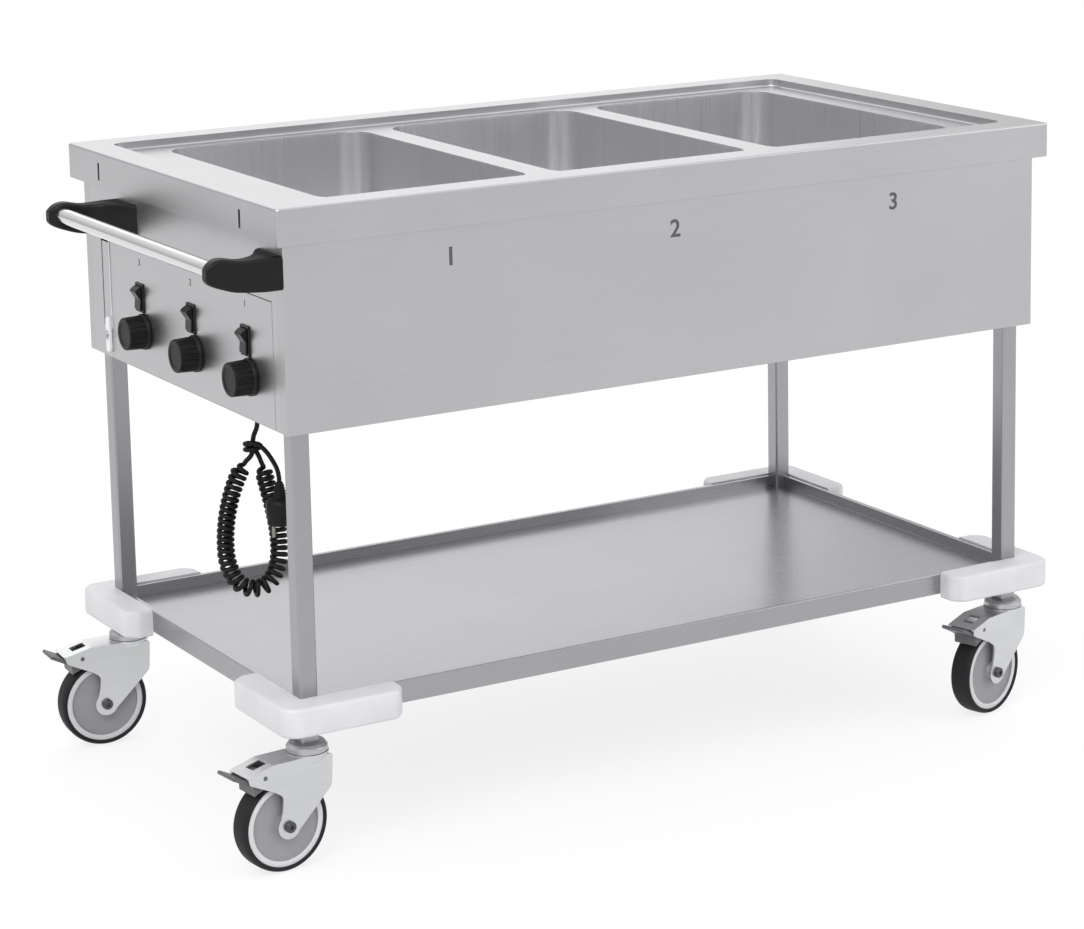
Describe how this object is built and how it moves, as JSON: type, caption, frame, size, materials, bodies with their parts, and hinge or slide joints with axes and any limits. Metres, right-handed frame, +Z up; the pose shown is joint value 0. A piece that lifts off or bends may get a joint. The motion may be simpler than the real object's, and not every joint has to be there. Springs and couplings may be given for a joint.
{
  "type": "heated food trolley",
  "caption": "Stainless steel heated food trolley with sunk wells in a panelled body, rotary and rocker controls, lower shelf, push handle, curled mains lead and braked swivel castors.",
  "frame": {"origin": "on the floor under the middle of the box round the whole trolley", "axes": "+X along the length from the control end to the far end, +Y from the front to the back, +Z up"},
  "size_m": [1.305, 0.6802, 0.86],
  "materials": {
    "stainless_satin": "satin stainless sheet, grain along the length",
    "stainless_tank": "pressed stainless, semi-bright",
    "stainless_tube": "satin stainless tube, grain along the tube",
    "polished_tube": "polished stainless tube",
    "zinc_plate": "bright zinc-plated pressed steel",
    "bolt_zinc": "zinc-plated fasteners",
    "tyre_rubber": "black non-marking rubber, satin",
    "wheel_plastic": "moulded mid-grey polyamide",
    "bumper_plastic": "moulded pale grey plastic",
    "black_plastic": "moulded black polyamide, fine texture",
    "switch_black": "black moulded switch plastic",
    "thermostat_body": "pale moulded thermostat body",
    "heater_sheath": "heat-tinted element sheath",
    "lead_rubber": "black rubber lead sheath",
    "plug_rubber": "moulded black rubber plug with brass pins"
  },
  "bodies": {
    "trolley": {"top_deck": "stainless_satin", "front_panel": "stainless_satin", "back_panel": "stainless_satin", "left_end_panel": "stainless_satin", "right_end_panel": "stainless_satin", "control_cover": "stainless_satin", "bottom_pan": "stainless_satin", "shelf_tray": "stainless_satin", "shelf_stiffeners": "stainless_satin", "well_tank_1": "stainless_tank", "well_tank_2": "stainless_tank", "well_tank_3": "stainless_tank", "well_heaters": "heater_sheath", "legs": "stainless_tube", "body_rails": "stainless_tube", "handle_tube": "polished_tube", "handle_bracket_near": "black_plastic", "handle_bracket_far": "black_plastic", "cord_gland": "black_plastic", "switch_frames": "switch_black", "thermostats": "thermostat_body", "turn_button_screw": "bolt_zinc", "castor_heads": "bolt_zinc", "cord_tail": "lead_rubber", "cord_curls": "lead_rubber", "cord_lead": "lead_rubber", "plug": "plug_rubber", "bumper_front_left": "bumper_plastic", "bumper_front_right": "bumper_plastic", "bumper_back_left": "bumper_plastic", "bumper_back_right": "bumper_plastic"},
    "castor_front_left": {"fork_front_left": "zinc_plate", "axle_front_left": "bolt_zinc"},
    "roller_front_left": {"wheel_front_left": "wheel_plastic", "tyre_front_left": "tyre_rubber"},
    "brake_front_left": {"brake_pedal_front_left": "zinc_plate"},
    "castor_front_right": {"fork_front_right": "zinc_plate", "axle_front_right": "bolt_zinc"},
    "roller_front_right": {"wheel_front_right": "wheel_plastic", "tyre_front_right": "tyre_rubber"},
    "brake_front_right": {"brake_pedal_front_right": "zinc_plate"},
    "castor_back_left": {"fork_back_left": "zinc_plate", "axle_back_left": "bolt_zinc"},
    "roller_back_left": {"wheel_back_left": "wheel_plastic", "tyre_back_left": "tyre_rubber"},
    "brake_back_left": {"brake_pedal_back_left": "zinc_plate"},
    "castor_back_right": {"fork_back_right": "zinc_plate", "axle_back_right": "bolt_zinc"},
    "roller_back_right": {"wheel_back_right": "wheel_plastic", "tyre_back_right": "tyre_rubber"},
    "brake_back_right": {"brake_pedal_back_right": "zinc_plate"},
    "knob_body_1": {"knob_1": "black_plastic"},
    "knob_body_2": {"knob_2": "black_plastic"},
    "knob_body_3": {"knob_3": "black_plastic"},
    "rocker_body_1": {"rocker_1": "switch_black"},
    "rocker_body_2": {"rocker_2": "switch_black"},
    "rocker_body_3": {"rocker_3": "switch_black"},
    "turn_button_body": {"turn_button": "bolt_zinc"}
  },
  "joints": [
    {"name": "swivel_front_left", "type": "hinge", "parent": "trolley", "child": "castor_front_left", "pos_m": [-0.52, -0.289, 0.162], "axis": [0, 0, 1], "continuous": true},
    {"name": "roll_front_left", "type": "hinge", "parent": "castor_front_left", "child": "roller_front_left", "pos_m": [-0.56276, -0.2935, 0.0625], "axis": [-0.1045, 0.9945, 0], "continuous": true},
    {"name": "pedal_front_left", "type": "hinge", "parent": "castor_front_left", "child": "brake_front_left", "pos_m": [-0.59558, -0.29694, 0.134], "axis": [0.1045, -0.9945, 0], "range_deg": [0, 12]},
    {"name": "swivel_front_right", "type": "hinge", "parent": "trolley", "child": "castor_front_right", "pos_m": [0.602, -0.289, 0.162], "axis": [0, 0, 1], "continuous": true},
    {"name": "roll_front_right", "type": "hinge", "parent": "castor_front_right", "child": "roller_front_right", "pos_m": [0.56067, -0.30085, 0.0625], "axis": [-0.2756, 0.9613, 0], "continuous": true},
    {"name": "pedal_front_right", "type": "hinge", "parent": "castor_front_right", "child": "brake_front_right", "pos_m": [0.52894, -0.30995, 0.134], "axis": [0.2756, -0.9613, 0], "range_deg": [0, 12]},
    {"name": "swivel_back_left", "type": "hinge", "parent": "trolley", "child": "castor_back_left", "pos_m": [-0.52, 0.289, 0.162], "axis": [0, 0, 1], "continuous": true},
    {"name": "roll_back_left", "type": "hinge", "parent": "castor_back_left", "child": "roller_back_left", "pos_m": [-0.5629, 0.292, 0.0625], "axis": [0.0698, 0.9976, 0], "continuous": true},
    {"name": "pedal_back_left", "type": "hinge", "parent": "castor_back_left", "child": "brake_back_left", "pos_m": [-0.59581, 0.2943, 0.134], "axis": [-0.0698, -0.9976, 0], "range_deg": [0, 12]},
    {"name": "swivel_back_right", "type": "hinge", "parent": "trolley", "child": "castor_back_right", "pos_m": [0.602, 0.289, 0.162], "axis": [0, 0, 1], "continuous": true},
    {"name": "roll_back_right", "type": "hinge", "parent": "castor_back_right", "child": "roller_back_right", "pos_m": [0.55942, 0.28302, 0.0625], "axis": [-0.1392, 0.9903, 0], "continuous": true},
    {"name": "pedal_back_right", "type": "hinge", "parent": "castor_back_right", "child": "brake_back_right", "pos_m": [0.52674, 0.27842, 0.134], "axis": [0.1392, -0.9903, 0], "range_deg": [0, 12]},
    {"name": "knob_turn_1", "type": "hinge", "parent": "trolley", "child": "knob_body_1", "pos_m": [-0.551, -0.228, 0.63], "axis": [1, 0, 0], "range_deg": [0, 270]},
    {"name": "knob_turn_2", "type": "hinge", "parent": "trolley", "child": "knob_body_2", "pos_m": [-0.551, -0.061, 0.63], "axis": [1, 0, 0], "range_deg": [0, 270]},
    {"name": "knob_turn_3", "type": "hinge", "parent": "trolley", "child": "knob_body_3", "pos_m": [-0.551, 0.106, 0.63], "axis": [1, 0, 0], "range_deg": [0, 270]},
    {"name": "rocker_swing_1", "type": "hinge", "parent": "trolley", "child": "rocker_body_1", "pos_m": [-0.549, -0.217, 0.675], "axis": [0, 1, 0], "range_deg": [0, 28]},
    {"name": "rocker_swing_2", "type": "hinge", "parent": "trolley", "child": "rocker_body_2", "pos_m": [-0.549, -0.05, 0.675], "axis": [0, 1, 0], "range_deg": [0, 28]},
    {"name": "rocker_swing_3", "type": "hinge", "parent": "trolley", "child": "rocker_body_3", "pos_m": [-0.549, 0.117, 0.675], "axis": [0, 1, 0], "range_deg": [0, 28]},
    {"name": "turn_button_swing", "type": "hinge", "parent": "trolley", "child": "turn_button_body", "pos_m": [-0.551, 0.2285, 0.605], "axis": [1, 0, 0], "range_deg": [0, 90]}
  ]
}
